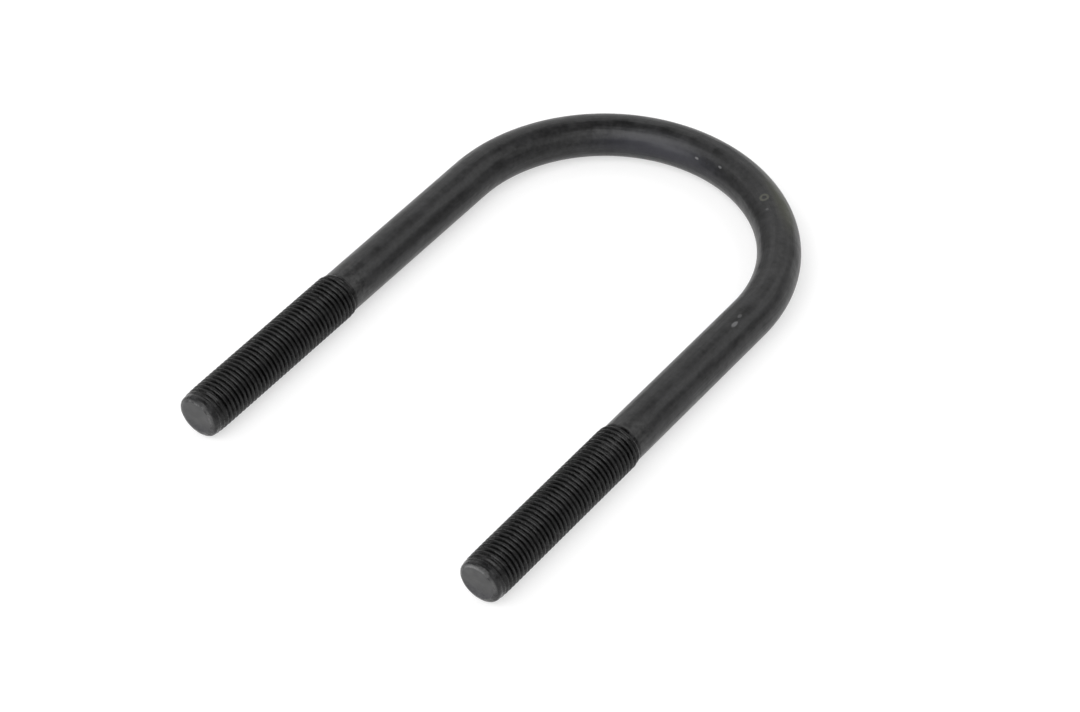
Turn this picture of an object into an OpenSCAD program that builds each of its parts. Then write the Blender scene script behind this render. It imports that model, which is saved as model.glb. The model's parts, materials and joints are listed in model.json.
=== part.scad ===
// U-bolt for holding a round tube against a clamp plate.
// One steel bar, rolled with a screw thread at both ends and then bent round a former.
// The bolt lies flat: +Z is square to the plane of the U, the bend points along +Y and both legs
// point along -Y. The origin is the bend's centre, where the axis of a seated tube runs.

/* [Thread] */
// Major diameter of the threads, across their crests (7/16 in)
thread_d = 11.11; // [8:0.01:16]
// Distance from one crest to the next (20 to the inch)
thread_pitch = 1.27; // [1:0.01:1.75]
// Left leg's thread, from the end face to the last crest
left_thread = 50; // [20:0.1:65]
// Right leg's thread, from the end face to the last crest
right_thread = 51.5; // [20:0.1:65]

/* [Bend and legs] */
// Clear width between the plain parts of the legs, which is also the bend's inside diameter
inside_w = 68.7; // [40:0.1:140]
// Left leg, from the bend's centre to the end face
left_leg = 98.4; // [70:0.1:200]
// Right leg, from the bend's centre to the end face
right_leg = 100.3; // [70:0.1:200]

/* [Ends] */
// Bevel round each end face, measured along the bar
end_bevel = 0.45; // [0.2:0.05:1]
// Stretch from each end face over which the crests rise to their full height
lead_in = 3.5; // [2:0.1:6]

/* [Hidden] */
$fn = 96;

// Proportions of an inch or metric screw thread with 60 degree flanks, as shares of its pitch
crest_flat = 1 / 8;
thread_depth = 0.6134;
pitch_line_depth = 0.3248;
flank_slope = tan(30);

thread_r = thread_d / 2;
root_r = thread_r - thread_depth * thread_pitch;
// Rolling raises the crests above the bar as much as it sinks the grooves, so the plain bar keeps
// the thread's pitch diameter
bar_r = thread_r - pitch_line_depth * thread_pitch;
bend_r = inside_w / 2 + bar_r;

// Half the width along the bar of a thread ridge at radius r
function ridge_half(r) = crest_flat * thread_pitch / 2 + (thread_r - r) * flank_slope;

// Crest radius at distance q from the end face
function crest_r(q) = min(thread_r, bar_r + (thread_r - bar_r) * q / lead_in);

// The first ridge stands one groove behind the end bevel
root_flat = thread_pitch - 2 * ridge_half(root_r);
first_ridge = end_bevel + (bar_r - root_r) * flank_slope + root_flat + ridge_half(root_r);

// Both flanks and the crest of the ridge at distance q from the end face, as [radius, distance]
function ridge(q) = [
    [root_r, q - ridge_half(root_r)],
    [crest_r(q), q - ridge_half(crest_r(q))],
    [crest_r(q), q + ridge_half(crest_r(q))],
    [root_r, q + ridge_half(root_r)]
];

// Leg from the bend (z = 0) to its end face (z = leg). The thread is a row of closed ridges one
// pitch apart, each with the true depth, flank angle and crest.
module threaded_leg(leg, thread) {
    last_crest = thread - crest_flat * thread_pitch / 2;
    steps = floor((last_crest - first_ridge) / thread_pitch);
    last_ridge = first_ridge + steps * thread_pitch;
    end_face = [
        [0, 0],
        [bar_r - end_bevel, 0],
        [bar_r, end_bevel],
        [root_r, first_ridge - ridge_half(root_r) - root_flat]
    ];
    ridges = [for (i = [0 : steps - 1]) each ridge(first_ridge + i * thread_pitch)];
    run_out = [
        [root_r, last_ridge - ridge_half(root_r)],
        [thread_r, last_ridge - ridge_half(thread_r)],
        [thread_r, last_ridge + ridge_half(thread_r)],
        [bar_r, last_ridge + ridge_half(bar_r)]
    ];
    plain_bar = [
        [bar_r, leg],
        [0, leg]
    ];
    outline = concat(end_face, ridges, run_out, plain_bar);
    rotate_extrude()
        polygon([for (p = outline) [p[0], leg - p[1]]]);
}

// Half turn of plain bar, centred on the origin
module bend() {
    rotate_extrude(angle = 180)
        translate([bend_r, 0])
            circle(r = bar_r);
}

module u_bolt() {
    color([0.2, 0.2, 0.21])
        union() {
            bend();
            translate([-bend_r, 0, 0])
                rotate([90, 0, 0])
                    threaded_leg(left_leg, left_thread);
            translate([bend_r, 0, 0])
                rotate([90, 0, 0])
                    threaded_leg(right_leg, right_thread);
        }
}

u_bolt();
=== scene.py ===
"""A U-bolt: one black steel bar with a thread rolled on both ends, bent round a former.

Lengths are in metres. The bolt lies flat, its bend towards +Y and its two legs towards -Y.
"""

import json
import math

import bpy
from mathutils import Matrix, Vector


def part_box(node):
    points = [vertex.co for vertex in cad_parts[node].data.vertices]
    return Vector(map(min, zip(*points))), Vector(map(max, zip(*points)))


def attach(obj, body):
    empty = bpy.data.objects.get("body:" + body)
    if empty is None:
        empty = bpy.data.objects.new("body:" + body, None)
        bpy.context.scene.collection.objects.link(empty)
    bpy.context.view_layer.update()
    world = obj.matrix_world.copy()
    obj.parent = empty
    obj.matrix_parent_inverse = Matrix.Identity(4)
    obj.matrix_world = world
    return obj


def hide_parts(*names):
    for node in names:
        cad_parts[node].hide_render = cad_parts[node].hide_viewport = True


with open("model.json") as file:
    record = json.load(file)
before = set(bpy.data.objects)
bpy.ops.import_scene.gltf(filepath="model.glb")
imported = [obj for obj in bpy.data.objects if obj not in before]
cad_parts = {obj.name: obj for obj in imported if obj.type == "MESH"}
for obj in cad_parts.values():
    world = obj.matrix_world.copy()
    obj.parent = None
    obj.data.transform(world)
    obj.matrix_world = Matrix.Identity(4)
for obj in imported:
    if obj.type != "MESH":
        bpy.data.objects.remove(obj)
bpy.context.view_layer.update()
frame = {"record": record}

# ---- Camera ----
# A long lens looks down on the bolt from beyond its right leg, so the legs run to the lower left.
camera_data = bpy.data.cameras.new("camera")
camera_data.sensor_width = 36
camera_data.lens = 121.5
camera_data.clip_end = 20
camera = bpy.data.objects.new("camera", camera_data)
bpy.context.scene.collection.objects.link(camera)
bpy.context.scene.camera = camera

camera_aim = Vector((0.009, -0.0378, 0))
camera_distance = 0.812
camera_azimuth = math.radians(36.74)
camera_height_angle = math.radians(44.38)
away = Vector(
    (
        math.sin(camera_azimuth) * math.cos(camera_height_angle),
        -math.cos(camera_azimuth) * math.cos(camera_height_angle),
        math.sin(camera_height_angle),
    )
)
camera.location = camera_aim + camera_distance * away
camera.rotation_euler = away.to_track_quat("Z", "Y").to_euler()


# ---- Floor and studio ----
# A plain white floor that glows a little from below, as a light table does, under a ring of soft
# lights as wide as windows, the brightest in front. The lights are patches on the surroundings,
# which are pale all round near the horizon.
def add(tree, kind, inputs=None, **settings):
    """Adds a node, gives its named inputs values or links, and returns it."""
    made = tree.nodes.new(kind)
    for name, value in settings.items():
        setattr(made, name, value)
    for name, value in (inputs or {}).items():
        if isinstance(value, bpy.types.NodeSocket):
            tree.links.new(value, made.inputs[name])
        else:
            made.inputs[name].default_value = value
    return made


def calc(tree, operation, *values):
    """A Math node on numbers or sockets, as its output."""
    made = tree.nodes.new("ShaderNodeMath")
    made.operation = operation
    for socket, value in zip(made.inputs, values):
        if isinstance(value, bpy.types.NodeSocket):
            tree.links.new(value, socket)
        else:
            socket.default_value = value
    return made.outputs[0]


def ramp(tree, value, start, end, low=0.0, high=1.0, kind="LINEAR"):
    """Takes value from the range start to end onto the range low to high, and holds it there."""
    inputs = {"Value": value, "From Min": start, "From Max": end, "To Min": low, "To Max": high}
    return add(tree, "ShaderNodeMapRange", inputs, interpolation_type=kind).outputs["Result"]


def on_vectors(tree, operation, first, second=None):
    """A Vector Math node on sockets or numbers, as its output."""
    made = add(tree, "ShaderNodeVectorMath", operation=operation)
    tree.links.new(first, made.inputs[0])
    if isinstance(second, bpy.types.NodeSocket):
        tree.links.new(second, made.inputs[1])
    elif second is not None:
        made.inputs[1].default_value = second
    return made.outputs["Value" if operation in ("LENGTH", "DOT_PRODUCT") else "Vector"]


bolt_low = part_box("u_bolt")[0]
mounts = {mount["name"]: mount for mount in frame["record"]["mounts"]}
thread_r = mounts["left_thread"]["dims"]["r_mm"] / 1000
floor_z = -thread_r
floor_half = 6.0
floor_mesh = bpy.data.meshes.new("floor")
floor_corners = ((-1, -1), (1, -1), (1, 1), (-1, 1))
floor_corners = [(x * floor_half, y * floor_half, floor_z) for x, y in floor_corners]
floor_mesh.from_pydata(floor_corners, [], [(0, 1, 2, 3)])
floor = bpy.data.objects.new("floor", floor_mesh)
bpy.context.scene.collection.objects.link(floor)

floor_paint = bpy.data.materials.new("floor_paint")
floor_paint.use_nodes = True
shader = floor_paint.node_tree.nodes["Principled BSDF"]
shader.inputs["Base Color"].default_value = (0.5, 0.5, 0.5, 1)
shader.inputs["Roughness"].default_value = 0.9
shader.inputs["Emission Color"].default_value = (1, 1, 1, 1)
shader.inputs["Emission Strength"].default_value = 0.52
floor_mesh.materials.append(floor_paint)

scene = bpy.context.scene
scene.view_settings.view_transform = "Standard"
studio = bpy.data.worlds.new("studio")
scene.world = studio
studio.use_nodes = True
sky = studio.node_tree
outward = sky.nodes.new("ShaderNodeTexCoord").outputs["Generated"]
upward = add(sky, "ShaderNodeSeparateXYZ", {"Vector": outward}).outputs["Z"]
horizon = 1.08
horizon_top = math.sin(math.radians(24))
brightness = ramp(sky, upward, 0.0, horizon_top, horizon, 0.0, kind="SMOOTHSTEP")

# Each light's bearing round from the front, its height and its half width, in degrees, and its
# brightness, which is full over this share of the half width and fades out to the edge.
full_share = 0.35
soft_lights = (
    (-8, 13, 18, 3.2),
    (5, 49, 34, 3.9),
    (55, 34, 26, 1.3),
    (93, 42, 26, 1.0),
    (143, 44, 24, 1.9),
    (183, 36, 26, 1.2),
    (222, 34, 28, 1.15),
    (262, 42, 30, 1.0),
    (305, 42, 26, 1.3),
)
for bearing, light_height, half_width, strength in soft_lights:
    bearing, light_height, half_width = map(math.radians, (bearing, light_height, half_width))
    level = math.cos(light_height)
    towards = (math.sin(bearing) * level, -math.cos(bearing) * level, math.sin(light_height))
    nearness = on_vectors(sky, "DOT_PRODUCT", outward, towards)
    edge, middle = math.cos(half_width), math.cos(half_width * full_share)
    patch = ramp(sky, nearness, edge, middle, 0.0, strength, kind="SMOOTHSTEP")
    brightness = calc(sky, "ADD", brightness, patch)
sky.links.new(brightness, sky.nodes["Background"].inputs["Strength"])
sky.nodes["Background"].inputs["Color"].default_value = (1, 1, 1, 1)


# ---- The bolt ----
# One round steel bar with a black skin. Its ends are cut, a screw thread is rolled on each, and the
# bar is then bent through half a turn. It is drawn straight here and bent as the last step.
bend_r = mounts["leg_pair"]["dims"]["spacing_x_mm"] / 2000
bar_r = bend_r - mounts["tube_seat"]["dims"]["r_mm"] / 1000
right_leg = -bolt_low.y
left_leg = 0.0984
pitch = 0.00127
bar_length = left_leg + math.pi * bend_r + right_leg
left_thread = 0.050
right_thread = 0.0515


def vector(tree, x=0.0, y=0.0, z=0.0):
    """A vector from three numbers or sockets."""
    return add(tree, "ShaderNodeCombineXYZ", {"X": x, "Y": y, "Z": z}).outputs[0]


def shape_tree(name, inputs):
    """A Geometry Nodes tree with these named inputs; returns it with its input sockets by name."""
    tree = bpy.data.node_groups.new(name, "GeometryNodeTree")
    for label, kind in inputs.items():
        tree.interface.new_socket(label, in_out="INPUT", socket_type=kind)
    tree.interface.new_socket("Geometry", in_out="OUTPUT", socket_type="NodeSocketGeometry")
    given = tree.nodes.new("NodeGroupInput").outputs
    return tree, {label: given[label] for label in inputs}


def sheet_to_roll(tree, rows, sides):
    """A flat sheet of faces, with its place round the bar and its place along it, from 0 to 1."""
    columns = calc(tree, "ADD", sides, 1)
    sizes = {"Size X": 1.0, "Size Y": 1.0, "Vertices X": columns, "Vertices Y": rows}
    sheet = add(tree, "GeometryNodeMeshGrid", sizes)
    position = tree.nodes.new("GeometryNodeInputPosition").outputs[0]
    place = add(tree, "ShaderNodeSeparateXYZ", {"Vector": position})
    turn = calc(tree, "ADD", place.outputs["X"], 0.5)
    share = calc(tree, "ADD", place.outputs["Y"], 0.5)
    return sheet.outputs["Mesh"], turn, share


def rolled(tree, sheet, turn, radius, along, aside=(0.0, 0.0, 0.0)):
    """The sheet rolled round Z, at this radius and this distance along, and moved aside."""
    angle = calc(tree, "MULTIPLY", turn, 2 * math.pi)
    x = calc(tree, "MULTIPLY", radius, calc(tree, "COSINE", angle))
    y = calc(tree, "MULTIPLY", radius, calc(tree, "SINE", angle))
    inputs = {"Geometry": sheet, "Position": vector(tree, x, y, along), "Offset": aside}
    return add(tree, "GeometryNodeSetPosition", inputs).outputs["Geometry"]


# The skin also lies flat on a square map of this side, in three strips side by side: both threaded
# ends on the first and half of the plain bar on each of the others. The cut faces are in a column
# beyond. The left end and both halves start at the same height, and the right end above the left.
map_side = 0.118
strip_gap = 0.0006
strip_width = 2 * math.pi * thread_r + strip_gap
face_column = 3 * strip_width + 0.0055
left_starts = 0.002
right_starts = 0.058
rim_on_map = 0.0018
face_past_start = 0.006


def laid_flat(tree, part, across, along):
    """The part, still unrolled, with its place on the flat map stored."""
    across = calc(tree, "DIVIDE", across, map_side)
    along = calc(tree, "DIVIDE", along, map_side)
    keep = {"Geometry": part, "Name": "OFBake", "Value": vector(tree, across, along)}
    stored = add(tree, "GeometryNodeStoreNamedAttribute", keep, data_type="FLOAT2", domain="CORNER")
    return stored.outputs[0]


def across_strip(tree, strip, turn):
    """The distance across the map for a place round the bar, on this strip."""
    return calc(tree, "MULTIPLY_ADD", turn, 2 * math.pi * thread_r, strip * strip_width + strip_gap / 2)


def joined(tree, parts):
    """The parts as one geometry."""
    join = tree.nodes.new("GeometryNodeJoinGeometry")
    for part in parts:
        tree.links.new(part, join.inputs[0])
    return join.outputs[0]


# A threaded end, from its cut face at z = 0. The crests rise steeply and then gently to full height,
# one groove winds round right-handed, and both die away into the plain bar at the far end. The
# groove's depth and its flat crests and roots are in pitches, as on any 60 degree thread.
groove_depth = 0.6134
half_crest = 1 / 16
half_root = 1 / 12
end_sizes = {
    "Thread radius": thread_r,
    "Root radius": thread_r - groove_depth * pitch,
    "Bar radius": bar_r,
    "Rim": 0.00085,
    "Unevenness": 0.10,
    "Tip taper": 0.00062,
    "Taper length": 0.00122,
    "Pitch": pitch,
    "Cut in": 0.0036,
    "Run out": 0.0022,
}
own_inputs = ("Thread length", "Face radius", "Face shift", "Map start", "Seed")
end_inputs = {label: "NodeSocketFloat" for label in (*own_inputs, *end_sizes)}
end_inputs["Face shift"] = "NodeSocketVector"
end_inputs["Sides"] = "NodeSocketInt"
end_inputs["Rows per pitch"] = "NodeSocketInt"
end_tree, end = shape_tree("threaded_end", end_inputs)


def crest_height(along):
    """The radius of the crests at this distance from the cut face."""
    backwards = calc(end_tree, "MULTIPLY", end["Taper length"], -1.0)
    falling = calc(end_tree, "EXPONENT", calc(end_tree, "DIVIDE", along, backwards))
    lost = calc(end_tree, "MULTIPLY", end["Tip taper"], falling)
    return calc(end_tree, "SUBTRACT", end["Thread radius"], lost)


def face_edge(across):
    """The radius of the cut face in this direction, a little uneven."""
    inputs = {"Vector": across, "W": end["Seed"], "Scale": 0.9, "Detail": 1.0}
    wander = add(end_tree, "ShaderNodeTexNoise", inputs, noise_dimensions="4D")
    uneven = calc(end_tree, "SUBTRACT", wander.outputs["Fac"], 0.5)
    factor = calc(end_tree, "MULTIPLY_ADD", uneven, calc(end_tree, "MULTIPLY", end["Unevenness"], 2.0), 1.0)
    return calc(end_tree, "MULTIPLY", end["Face radius"], factor)


# The rim: a quarter round from the edge of the cut face out to the first crest.
rim_rows = 9
rim_sheet, rim_turn, rim_share = sheet_to_roll(end_tree, rim_rows, end["Sides"])
rim_bearing = calc(end_tree, "MULTIPLY", rim_turn, 2 * math.pi)
rim_bearing = vector(end_tree, calc(end_tree, "COSINE", rim_bearing), calc(end_tree, "SINE", rim_bearing))
face_r = face_edge(rim_bearing)
rim_angle = calc(end_tree, "MULTIPLY", rim_share, math.pi / 2)
rim_height = calc(end_tree, "SUBTRACT", crest_height(end["Rim"]), face_r)
rim_r = calc(end_tree, "MULTIPLY_ADD", rim_height, calc(end_tree, "SINE", rim_angle), face_r)
rim_fall = calc(end_tree, "SUBTRACT", 1.0, calc(end_tree, "COSINE", rim_angle))
rim_along = calc(end_tree, "MULTIPLY", end["Rim"], rim_fall)
leaving = calc(end_tree, "SUBTRACT", 1.0, calc(end_tree, "SINE", rim_angle))
aside = add(end_tree, "ShaderNodeVectorMath", {"Scale": leaving}, operation="SCALE")
end_tree.links.new(end["Face shift"], aside.inputs[0])
rim_flat = calc(end_tree, "MULTIPLY", calc(end_tree, "SUBTRACT", rim_share, 1.0), rim_on_map)
rim_flat = calc(end_tree, "ADD", calc(end_tree, "ADD", rim_flat, end["Rim"]), end["Map start"])
rim_sheet = laid_flat(end_tree, rim_sheet, across_strip(end_tree, 0, rim_turn), rim_flat)
rim = rolled(end_tree, rim_sheet, rim_turn, rim_r, rim_along, aside.outputs[0])

# The cut face.
circle = {"Vertices": end["Sides"], "Radius": 1.0}
disc = add(end_tree, "GeometryNodeMeshCircle", circle, fill_type="TRIANGLE_FAN")
disc_place = end_tree.nodes.new("GeometryNodeInputPosition").outputs[0]
grown = add(end_tree, "ShaderNodeVectorMath", {"Scale": face_edge(disc_place)}, operation="SCALE")
end_tree.links.new(disc_place, grown.inputs[0])
spread = add(end_tree, "ShaderNodeSeparateXYZ", {"Vector": grown.outputs[0]})
face_across = calc(end_tree, "SUBTRACT", face_column, spread.outputs["X"])
face_along = calc(end_tree, "ADD", spread.outputs["Y"], end["Map start"])
face_along = calc(end_tree, "ADD", face_along, face_past_start)
flat_disc = laid_flat(end_tree, disc.outputs["Mesh"], face_across, face_along)
face_place = {"Geometry": flat_disc, "Position": grown.outputs[0], "Offset": end["Face shift"]}
face = add(end_tree, "GeometryNodeSetPosition", face_place)
face_out = add(end_tree, "GeometryNodeFlipFaces", {"Mesh": face.outputs["Geometry"]})

# The threaded stretch. Its sheet's rows climb by one pitch in each turn, so that they follow the
# groove, and are held at the rim and at the thread's end.
threaded = calc(end_tree, "SUBTRACT", end["Thread length"], end["Rim"])
turns = calc(end_tree, "CEIL", calc(end_tree, "DIVIDE", threaded, end["Pitch"]))
turns = calc(end_tree, "ADD", turns, 1.0)
rows = calc(end_tree, "MULTIPLY_ADD", turns, end["Rows per pitch"], 1.0)
sheet, turn, share = sheet_to_roll(end_tree, rows, end["Sides"])
wound = calc(end_tree, "SUBTRACT", calc(end_tree, "MULTIPLY_ADD", share, turns, turn), 1.0)
along_free = calc(end_tree, "MULTIPLY_ADD", wound, end["Pitch"], end["Rim"])
along = calc(end_tree, "MINIMUM", calc(end_tree, "MAXIMUM", along_free, end["Rim"]), end["Thread length"])

past_rim = calc(end_tree, "SUBTRACT", along, end["Rim"])
phase = calc(end_tree, "SUBTRACT", calc(end_tree, "DIVIDE", past_rim, end["Pitch"]), turn)
repeated = calc(end_tree, "FRACT", calc(end_tree, "ADD", phase, 0.5 - half_crest))
from_crest = calc(end_tree, "ABSOLUTE", calc(end_tree, "SUBTRACT", repeated, 0.5))
groove = ramp(end_tree, from_crest, half_crest, 0.5 - half_root)
cut_in = ramp(end_tree, past_rim, 0.0, end["Cut in"])
run_out_start = calc(end_tree, "SUBTRACT", end["Thread length"], end["Run out"])
run_out = ramp(end_tree, along, run_out_start, end["Thread length"], 1.0, 0.0, kind="SMOOTHSTEP")
crest_r = crest_height(along)
depth = calc(end_tree, "MULTIPLY", calc(end_tree, "SUBTRACT", crest_r, end["Root radius"]), cut_in)
cut_r = calc(end_tree, "SUBTRACT", crest_r, calc(end_tree, "MULTIPLY", groove, depth))
above_bar = calc(end_tree, "SUBTRACT", cut_r, end["Bar radius"])
thread_surface_r = calc(end_tree, "MULTIPLY_ADD", above_bar, run_out, end["Bar radius"])
flat_along = calc(end_tree, "ADD", along, end["Map start"])
sheet = laid_flat(end_tree, sheet, across_strip(end_tree, 0, turn), flat_along)
thread = rolled(end_tree, sheet, turn, thread_surface_r, along)

whole_end = joined(end_tree, (face_out.outputs["Mesh"], rim, thread))
end_tree.links.new(whole_end, end_tree.nodes.new("NodeGroupOutput").inputs["Geometry"])


# The whole bar. Both ends and the plain stretch between them are welded into one closed skin, whose
# straight-bar place is kept for the finishes to follow. Then the bar is bent, which thins it a little.
bar_inputs = {
    "Left leg": "NodeSocketFloat",
    "Left thread": "NodeSocketFloat",
    "Right thread": "NodeSocketFloat",
    "Bar length": "NodeSocketFloat",
    "Bend radius": "NodeSocketFloat",
    "Bend thinning": "NodeSocketFloat",
    "Left face radius": "NodeSocketFloat",
    "Right face radius": "NodeSocketFloat",
    "Left face shift": "NodeSocketVector",
    "Right face shift": "NodeSocketVector",
    "Bar finish": "NodeSocketMaterial",
    "Thread finish": "NodeSocketMaterial",
    "Cut finish": "NodeSocketMaterial",
    **{label: kind for label, kind in end_inputs.items() if label not in own_inputs},
}
bar_tree, bar = shape_tree("u_bolt_bar", bar_inputs)


def threaded_end(side, seed, map_start):
    """The threaded end on this side, with the bar's other sizes."""
    own = {"Seed": seed, "Map start": map_start}
    group = add(bar_tree, "GeometryNodeGroup", own, node_tree=end_tree)
    bar_tree.links.new(bar[side + " thread"], group.inputs["Thread length"])
    bar_tree.links.new(bar[side + " face radius"], group.inputs["Face radius"])
    bar_tree.links.new(bar[side + " face shift"], group.inputs["Face shift"])
    for label in end_inputs:
        if label not in own_inputs:
            bar_tree.links.new(bar[label], group.inputs[label])
    return group.outputs["Geometry"]


left_end = threaded_end("Left", 1.0, left_starts)
far_away = {
    "Geometry": threaded_end("Right", 4.0, right_starts),
    "Translation": vector(bar_tree, z=bar["Bar length"]),
    "Rotation": (math.pi, 0.0, 0.0),
}
right_end = add(bar_tree, "GeometryNodeTransform", far_away).outputs["Geometry"]
plain_end = calc(bar_tree, "SUBTRACT", bar["Bar length"], bar["Right thread"])
half_length = calc(bar_tree, "DIVIDE", calc(bar_tree, "SUBTRACT", plain_end, bar["Left thread"]), 2.0)
plain_rows = 91
plain_halves = []
for half in (0, 1):
    plain_sheet, plain_turn, plain_share = sheet_to_roll(bar_tree, plain_rows, bar["Sides"])
    past_start = calc(bar_tree, "MULTIPLY", plain_share, half_length)
    flat_across = across_strip(bar_tree, 1 + half, plain_turn)
    flat_along = calc(bar_tree, "ADD", past_start, left_starts)
    plain_sheet = laid_flat(bar_tree, plain_sheet, flat_across, flat_along)
    half_start = calc(bar_tree, "MULTIPLY_ADD", half_length, half, bar["Left thread"])
    plain_along = calc(bar_tree, "ADD", past_start, half_start)
    plain_half = rolled(bar_tree, plain_sheet, plain_turn, bar["Bar radius"], plain_along)
    plain_halves.append(plain_half)

whole_bar = joined(bar_tree, (left_end, right_end, *plain_halves))
weld_distance = 2e-6
weld = {"Geometry": whole_bar, "Distance": weld_distance}
welded = add(bar_tree, "GeometryNodeMergeByDistance", weld)
position = bar_tree.nodes.new("GeometryNodeInputPosition").outputs[0]
keep = {"Geometry": welded.outputs[0], "Name": "straight_bar", "Value": position}
kept = add(bar_tree, "GeometryNodeStoreNamedAttribute", keep, data_type="FLOAT_VECTOR", domain="POINT")

straight = add(bar_tree, "ShaderNodeSeparateXYZ", {"Vector": position})
past_left = calc(bar_tree, "SUBTRACT", straight.outputs["Z"], bar["Left leg"])
turned = calc(bar_tree, "DIVIDE", past_left, bar["Bend radius"])
bent = calc(bar_tree, "MINIMUM", calc(bar_tree, "MAXIMUM", turned, 0.0), math.pi)
thinned = calc(bar_tree, "MULTIPLY", calc(bar_tree, "SINE", bent), bar["Bend thinning"])
slim = calc(bar_tree, "SUBTRACT", 1.0, thinned)
on_leg = calc(bar_tree, "SUBTRACT", past_left, calc(bar_tree, "MULTIPLY", bent, bar["Bend radius"]))
reach = calc(bar_tree, "MULTIPLY_ADD", straight.outputs["X"], slim, bar["Bend radius"])
cosine = calc(bar_tree, "COSINE", bent)
sine = calc(bar_tree, "SINE", bent)
leg_x = calc(bar_tree, "MULTIPLY", on_leg, sine)
leg_y = calc(bar_tree, "MULTIPLY", on_leg, cosine)
bent_x = calc(bar_tree, "SUBTRACT", leg_x, calc(bar_tree, "MULTIPLY", reach, cosine))
bent_y = calc(bar_tree, "ADD", calc(bar_tree, "MULTIPLY", reach, sine), leg_y)
bent_z = calc(bar_tree, "MULTIPLY", straight.outputs["Y"], slim)
bent_place = {"Geometry": kept.outputs[0], "Position": vector(bar_tree, bent_x, bent_y, bent_z)}
bent_bar = add(bar_tree, "GeometryNodeSetPosition", bent_place)

# Each stretch gets its finish by its distance from the nearer cut face. What is within a hair of that
# face belongs to it and is shaded flat. The cut's own finish runs on a little way over the rim.
hair = 1e-6
cut_share_of_rim = 0.05
by_name = {"Name": "straight_bar"}
stored = add(bar_tree, "GeometryNodeInputNamedAttribute", by_name, data_type="FLOAT_VECTOR")
from_left = add(bar_tree, "ShaderNodeSeparateXYZ", {"Vector": stored.outputs["Attribute"]})
from_left = from_left.outputs["Z"]
from_right = calc(bar_tree, "SUBTRACT", bar["Bar length"], from_left)
in_left_thread = calc(bar_tree, "LESS_THAN", from_left, bar["Left thread"])
in_right_thread = calc(bar_tree, "LESS_THAN", from_right, bar["Right thread"])
nearer_end = calc(bar_tree, "MINIMUM", from_left, from_right)
off_the_faces = calc(bar_tree, "GREATER_THAN", nearer_end, hair)
smooth = {"Geometry": bent_bar.outputs[0], "Shade Smooth": off_the_faces}
smooth = add(bar_tree, "GeometryNodeSetShadeSmooth", smooth)
painted = add(bar_tree, "GeometryNodeRealizeInstances", {"Geometry": smooth.outputs[0]})
cut_limit = calc(bar_tree, "MULTIPLY", bar["Rim"], cut_share_of_rim)
stretches = {
    "Bar finish": True,
    "Thread finish": calc(bar_tree, "MAXIMUM", in_left_thread, in_right_thread),
    "Cut finish": calc(bar_tree, "LESS_THAN", nearer_end, cut_limit),
}
for label, stretch in stretches.items():
    coat = {"Geometry": painted.outputs[0], "Material": bar[label], "Selection": stretch}
    painted = add(bar_tree, "GeometryNodeSetMaterial", coat)
bar_tree.links.new(painted.outputs[0], bar_tree.nodes.new("NodeGroupOutput").inputs["Geometry"])


# The steel's black skin: soft blotches, streaks drawn along the bar and a fine grain. Every finish of
# the bolt uses it. It is laid out on the straight bar, so that it follows the bend.
def straight_place(tree):
    """The place that a point of the skin had on the straight bar."""
    return add(tree, "ShaderNodeAttribute", attribute_name="straight_bar").outputs["Vector"]


skin = bpy.data.node_groups.new("black_skin", "ShaderNodeTree")
for label in ("Blotch size", "Streak width", "Grain size"):
    skin.interface.new_socket(label, in_out="INPUT", socket_type="NodeSocketFloat")
for label in ("Blotches", "Mottle", "Streaks", "Grain", "Height"):
    skin.interface.new_socket(label, in_out="OUTPUT", socket_type="NodeSocketFloat")
skin_in = skin.nodes.new("NodeGroupInput").outputs
skin_out = skin.nodes.new("NodeGroupOutput").inputs
skin_place = straight_place(skin)
drawn_out = on_vectors(skin, "MULTIPLY", skin_place, (1.0, 1.0, 0.06))


def cloud(tree, place, size, detail, roughness=0.5):
    """Noise with features of about this size."""
    scale = calc(tree, "DIVIDE", 1.0, size)
    inputs = {"Vector": place, "Scale": scale, "Detail": detail, "Roughness": roughness}
    return add(tree, "ShaderNodeTexNoise", inputs).outputs["Fac"]


blotches = ramp(skin, cloud(skin, skin_place, skin_in["Blotch size"], 4.0, 0.55), 0.35, 0.65)
mottle_size = calc(skin, "MULTIPLY", skin_in["Blotch size"], 0.22)
mottle = ramp(skin, cloud(skin, skin_place, mottle_size, 3.0, 0.6), 0.38, 0.64)
streaks = ramp(skin, cloud(skin, drawn_out, skin_in["Streak width"], 3.0, 0.6), 0.3, 0.7)
grain = cloud(skin, skin_place, skin_in["Grain size"], 2.0)
relief = calc(skin, "MULTIPLY_ADD", streaks, 0.12, calc(skin, "MULTIPLY", grain, 0.07))
relief = calc(skin, "ADD", cloud(skin, skin_place, skin_in["Blotch size"], 2.0, 0.4), relief)
skin_parts = {"Blotches": blotches, "Mottle": mottle, "Streaks": streaks, "Grain": grain, "Height": relief}
for label, value in skin_parts.items():
    skin.links.new(value, skin_out[label])


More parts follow.
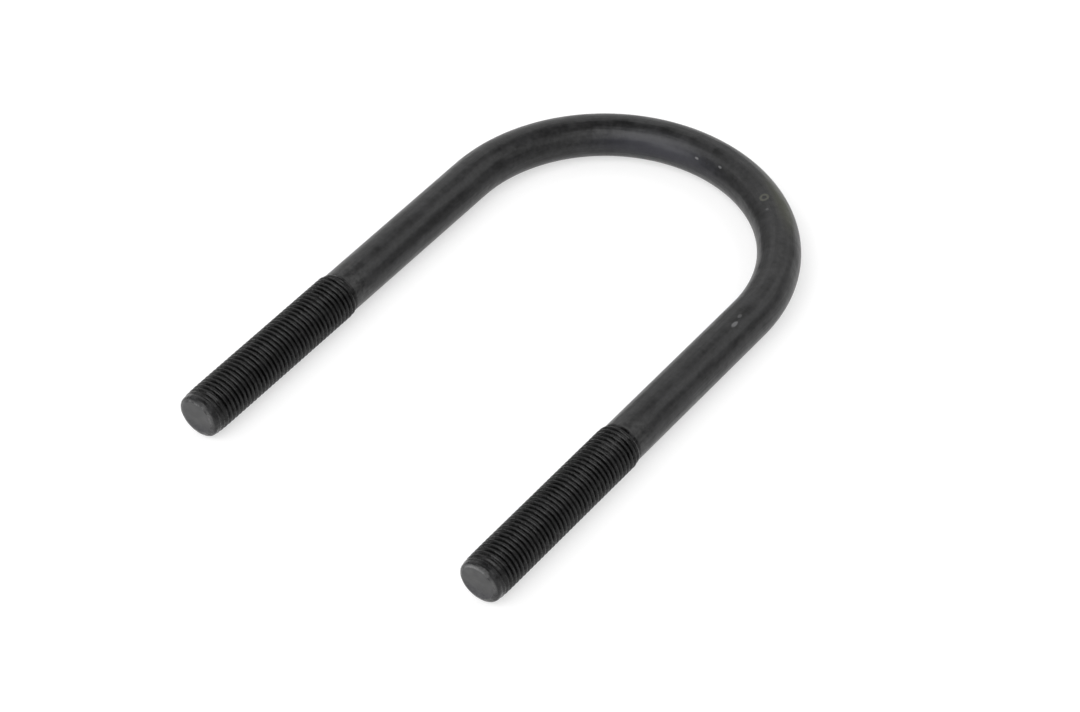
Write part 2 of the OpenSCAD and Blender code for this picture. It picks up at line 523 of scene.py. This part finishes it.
# A mark on the skin at a place on the straight bar, with a ragged edge: a filled spot or a ring.
mark = bpy.data.node_groups.new("skin_mark", "ShaderNodeTree")
for label in ("Place", "Size"):
    mark.interface.new_socket(label, in_out="INPUT", socket_type="NodeSocketVector")
for label in ("Raggedness", "Edge"):
    mark.interface.new_socket(label, in_out="INPUT", socket_type="NodeSocketFloat")
for label in ("Spot", "Ring"):
    mark.interface.new_socket(label, in_out="OUTPUT", socket_type="NodeSocketFloat")
mark_in = mark.nodes.new("NodeGroupInput").outputs
mark_out = mark.nodes.new("NodeGroupOutput").inputs
mark_place = straight_place(mark)
ragged_size = 0.0006
ring_middle = 0.75
offset = on_vectors(mark, "SUBTRACT", mark_place, mark_in["Place"])
distance = on_vectors(mark, "LENGTH", on_vectors(mark, "DIVIDE", offset, mark_in["Size"]))
ragged = calc(mark, "SUBTRACT", cloud(mark, mark_place, ragged_size, 3.0, 0.6), 0.5)
distance = calc(mark, "MULTIPLY_ADD", ragged, mark_in["Raggedness"], distance)
inner_edge = calc(mark, "SUBTRACT", 1.0, mark_in["Edge"])
spot = ramp(mark, distance, inner_edge, 1.0, 1.0, 0.0, kind="SMOOTHSTEP")
ring_centre = calc(mark, "ABSOLUTE", calc(mark, "SUBTRACT", distance, ring_middle))
ring = ramp(mark, ring_centre, 0.12, 0.36, 1.0, 0.0, kind="SMOOTHSTEP")
mark.links.new(spot, mark_out["Spot"])
mark.links.new(ring, mark_out["Ring"])


def steel_finish(name):
    """A new material; returns it, its tree and its shader."""
    material = bpy.data.materials.new(name)
    material.use_nodes = True
    tree = material.node_tree
    return material, tree, tree.nodes["Principled BSDF"]


def mixed(tree, share, first, second):
    """The colour that runs from first to second as share goes from 0 to 1."""
    mix = add(tree, "ShaderNodeMix", data_type="RGBA")
    for socket, value in zip((mix.inputs[0], mix.inputs[6], mix.inputs[7]), (share, first, second)):
        if isinstance(value, bpy.types.NodeSocket):
            tree.links.new(value, socket)
        else:
            socket.default_value = value
    return mix.outputs[2]


def skinned(tree, blotch, streak, grain_size):
    """The black skin's outputs, with these sizes in metres."""
    sizes = {"Blotch size": blotch, "Streak width": streak, "Grain size": grain_size}
    return add(tree, "ShaderNodeGroup", sizes, node_tree=skin).outputs


def marked(tree, output, along_mm, angle_deg, length_mm, width_mm, edge=0.5, ragged_edge=0.6):
    """How strongly a mark shows: its place along the bar, its angle round it (0 is the outside of the
    bend and 90 is up), and its half length and half width."""
    angle = math.radians(angle_deg)
    place = (bar_r * math.cos(angle), bar_r * math.sin(angle), along_mm / 1000)
    size = (width_mm / 1000, width_mm / 1000, length_mm / 1000)
    inputs = {"Place": place, "Size": size, "Raggedness": ragged_edge, "Edge": edge}
    return add(tree, "ShaderNodeGroup", inputs, node_tree=mark).outputs[output]


def roughened(tree, shader, height, depth, strength):
    """Gives the shader bumps of this height field, so many metres deep."""
    bump = add(tree, "ShaderNodeBump", {"Height": height, "Distance": depth, "Strength": strength})
    tree.links.new(bump.outputs["Normal"], shader.inputs["Normal"])


def from_nearer_end(tree):
    """The distance along the bar from the nearer cut face."""
    along = add(tree, "ShaderNodeSeparateXYZ", {"Vector": straight_place(tree)}).outputs["Z"]
    return calc(tree, "MINIMUM", along, calc(tree, "SUBTRACT", bar_length, along))


# Plain bar: black scale, a little paler and duller in blotches, with an olive cast on the outside of
# the bend, a bluish one inside its crown, scuffs just past the threads, and a few specks and pits.
bar_finish, tree, shader = steel_finish("black_bar")
shader.inputs["Specular IOR Level"].default_value = 0.33
bar_skin = skinned(tree, 0.005, 0.0011, 0.00025)
paleness = calc(tree, "MULTIPLY", bar_skin["Blotches"], 0.3)
paleness = calc(tree, "MULTIPLY_ADD", bar_skin["Streaks"], 0.35, paleness)
paleness = calc(tree, "MULTIPLY_ADD", bar_skin["Mottle"], 0.35, paleness)
colour = mixed(tree, paleness, (0.0004, 0.0004, 0.0004, 1), (0.020, 0.020, 0.0207, 1))
olive = marked(tree, "Spot", 187, 58, 14, 3.4, edge=0.9, ragged_edge=0.5)
colour = mixed(tree, calc(tree, "MULTIPLY", olive, 0.8), colour, (0.031, 0.032, 0.017, 1))
bluish = marked(tree, "Spot", 150, 160, 26, 5.0, edge=0.9, ragged_edge=0.5)
colour = mixed(tree, calc(tree, "MULTIPLY", bluish, 0.7), colour, (0.018, 0.018, 0.026, 1))
scuff_start, scuff_end = 0.051, 0.058
scuff = ramp(tree, from_nearer_end(tree), scuff_start, scuff_end, 1.0, 0.0)
scuff = calc(tree, "MULTIPLY", scuff, bar_skin["Mottle"])
colour = mixed(tree, calc(tree, "MULTIPLY", scuff, 0.6), colour, (0.04, 0.04, 0.039, 1))
pits = ((164.7, 105, 1.3, 1.2), (228, 84, 1.6, 0.7))
for along_mm, angle_deg, length_mm, width_mm in pits:
    pit = marked(tree, "Spot", along_mm, angle_deg, length_mm, width_mm)
    colour = mixed(tree, calc(tree, "MULTIPLY", pit, 0.8), colour, (0.003, 0.003, 0.003, 1))
halo = marked(tree, "Ring", 184.8, 104, 1.15, 1.15, ragged_edge=0.35)
colour = mixed(tree, calc(tree, "MULTIPLY", halo, 0.7), colour, (0.07, 0.07, 0.055, 1))
specks = (
    (160.9, 148, 0.7, 0.36, 0.11),
    (168.3, 137, 0.7, 0.36, 0.09),
    (188.9, 110, 0.5, 0.5, 0.05),
    (230.3, 76, 1.3, 0.6, 0.10),
    (227.5, 82, 0.9, 0.5, 0.05),
    (100.8, 64, 2.2, 0.35, 0.05),
)
for along_mm, angle_deg, length_mm, width_mm, grey in specks:
    speck = marked(tree, "Spot", along_mm, angle_deg, length_mm, width_mm)
    colour = mixed(tree, speck, colour, (grey, grey, grey * 1.03, 1))
tree.links.new(colour, shader.inputs["Base Color"])
dullness = ramp(tree, paleness, 0.0, 1.0, 0.27, 0.36)
dullness = calc(tree, "MULTIPLY_ADD", bar_skin["Grain"], 0.06, dullness)
tree.links.new(dullness, shader.inputs["Roughness"])
roughened(tree, shader, bar_skin["Height"], 0.0003, 1.0)

# Thread: the same black skin, darkest at the bottom of the groove, and rubbed smoother and a
# little paler along the crests and over the first turns, where nuts start. The rim's upper side
# carries a painted highlight in patches, pale and partly metallic.
rub_depth, crest_depth = 0.00055, 0.0001
first_turns_start, first_turns_end = 0.0006, 0.003
bright_start, bright_end = 0.00005, 0.00045
thread_finish, tree, shader = steel_finish("black_thread")
shader.inputs["Specular IOR Level"].default_value = 0.26
thread_skin = skinned(tree, 0.0022, 0.0009, 0.0002)
place = add(tree, "ShaderNodeSeparateXYZ", {"Vector": straight_place(tree)})
squares = calc(tree, "POWER", place.outputs["Y"], 2.0)
squares = calc(tree, "MULTIPLY_ADD", place.outputs["X"], place.outputs["X"], squares)
out_from_middle = calc(tree, "SQRT", squares)
on_crest = ramp(tree, out_from_middle, thread_r - rub_depth, thread_r - crest_depth)
rub = calc(tree, "MULTIPLY", on_crest, ramp(tree, thread_skin["Blotches"], 0.0, 1.0, 0.35, 1.0))
from_end = from_nearer_end(tree)
first_turns = ramp(tree, from_end, first_turns_start, first_turns_end, 1.0, 0.0, kind="SMOOTHSTEP")
first_rub = calc(tree, "MULTIPLY", first_turns, ramp(tree, thread_skin["Mottle"], 0.0, 1.0, 0.25, 1.0))
colour = mixed(tree, rub, (0.0004, 0.0004, 0.0004, 1), (0.003, 0.003, 0.0031, 1))
colour = mixed(tree, calc(tree, "MULTIPLY", first_rub, 0.7), colour, (0.026, 0.026, 0.027, 1))
rubbed = calc(tree, "MAXIMUM", rub, first_rub)
dullness = ramp(tree, rubbed, 0.0, 1.0, 0.36, 0.24)
dullness = calc(tree, "MULTIPLY_ADD", thread_skin["Mottle"], -0.12, dullness)
tree.links.new(dullness, shader.inputs["Roughness"])
# Painted highlight: the rim next to each cut face is made pale and partly metallic in patches, most
# strongly on its upper side.
upper_side = ramp(tree, place.outputs["Y"], -0.001, 0.0035, 0.3, 1.0)
painted_rim_highlight = ramp(tree, from_end, bright_start, bright_end, 1.0, 0.0)
painted_rim_highlight = calc(tree, "MULTIPLY", painted_rim_highlight, thread_skin["Blotches"])
painted_rim_highlight = calc(tree, "MULTIPLY", painted_rim_highlight, upper_side)
colour = mixed(tree, calc(tree, "MULTIPLY", painted_rim_highlight, 0.6), colour, (0.3, 0.3, 0.3, 1))
tree.links.new(colour, shader.inputs["Base Color"])
tree.links.new(calc(tree, "MULTIPLY", painted_rim_highlight, 0.55), shader.inputs["Metallic"])
roughened(tree, shader, thread_skin["Height"], 0.0003, 1.0)

# Cut ends: bare when sheared and since gone grey-black, with faint lines across from the blade, and
# a painted shade, dark and bluish, over their lower part.
cut_finish, tree, shader = steel_finish("cut_end")
shader.inputs["Specular IOR Level"].default_value = 0.3
cut_skin = skinned(tree, 0.003, 0.0006, 0.00025)
place = straight_place(tree)
blade_line_width = 0.0003
along_cut = on_vectors(tree, "MULTIPLY", place, (0.12, 1.0, 1.0))
blade_lines = cloud(tree, along_cut, blade_line_width, 3.0, 0.6)
tone = calc(tree, "MULTIPLY", cut_skin["Blotches"], 0.7)
tone = calc(tree, "MULTIPLY_ADD", blade_lines, 0.3, tone)
colour = mixed(tree, tone, (0.026, 0.026, 0.027, 1), (0.06, 0.06, 0.06, 1))
height = add(tree, "ShaderNodeSeparateXYZ", {"Vector": place}).outputs["Y"]
# Painted shade: the lower part of each cut face is made darker and bluish, in streaks.
painted_low_shade = ramp(tree, height, -0.0028, -0.0004, 1.0, 0.0)
painted_low_shade = calc(tree, "MULTIPLY", painted_low_shade, cut_skin["Streaks"])
colour = mixed(tree, painted_low_shade, colour, (0.009, 0.0085, 0.014, 1))
tree.links.new(colour, shader.inputs["Base Color"])
tree.links.new(ramp(tree, tone, 0.0, 1.0, 0.42, 0.55), shader.inputs["Roughness"])
roughened(tree, shader, blade_lines, 0.00004, 0.5)


# The tree's sizes are set on a carrier object, whose evaluated shape becomes the bolt's own mesh.
sizes = {
    **end_sizes,
    "Left leg": left_leg,
    "Left thread": left_thread,
    "Right thread": right_thread,
    "Bar length": bar_length,
    "Bend radius": bend_r,
    "Bend thinning": 0.02,
    "Left face radius": 0.00325,
    "Right face radius": 0.0035,
    "Left face shift": (0.00045, 0.00025, 0.0),
    "Right face shift": (-0.0004, -0.0002, 0.0),
    "Sides": 80,
    "Rows per pitch": 8,
    "Bar finish": bar_finish,
    "Thread finish": thread_finish,
    "Cut finish": cut_finish,
}
carrier = bpy.data.objects.new("carrier", bpy.data.meshes.new("carrier"))
bpy.context.scene.collection.objects.link(carrier)
builder = carrier.modifiers.new("builder", "NODES")
builder.node_group = bar_tree
for item in bar_tree.interface.items_tree:
    if item.in_out == "INPUT":
        builder[item.identifier] = sizes[item.name]
bpy.context.view_layer.update()
shape = carrier.evaluated_get(bpy.context.evaluated_depsgraph_get())
bar_mesh = bpy.data.meshes.new_from_object(shape, depsgraph=bpy.context.evaluated_depsgraph_get())
bpy.data.objects.remove(carrier)

# The carrier's own empty material slot comes first, and isn't wanted.
bar_mesh.materials.pop(index=0)
bar_mesh.name = "u_bolt_bar"
u_bolt_bar = bpy.data.objects.new("u_bolt_bar", bar_mesh)
bpy.context.scene.collection.objects.link(u_bolt_bar)
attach(u_bolt_bar, "root")
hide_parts("u_bolt")
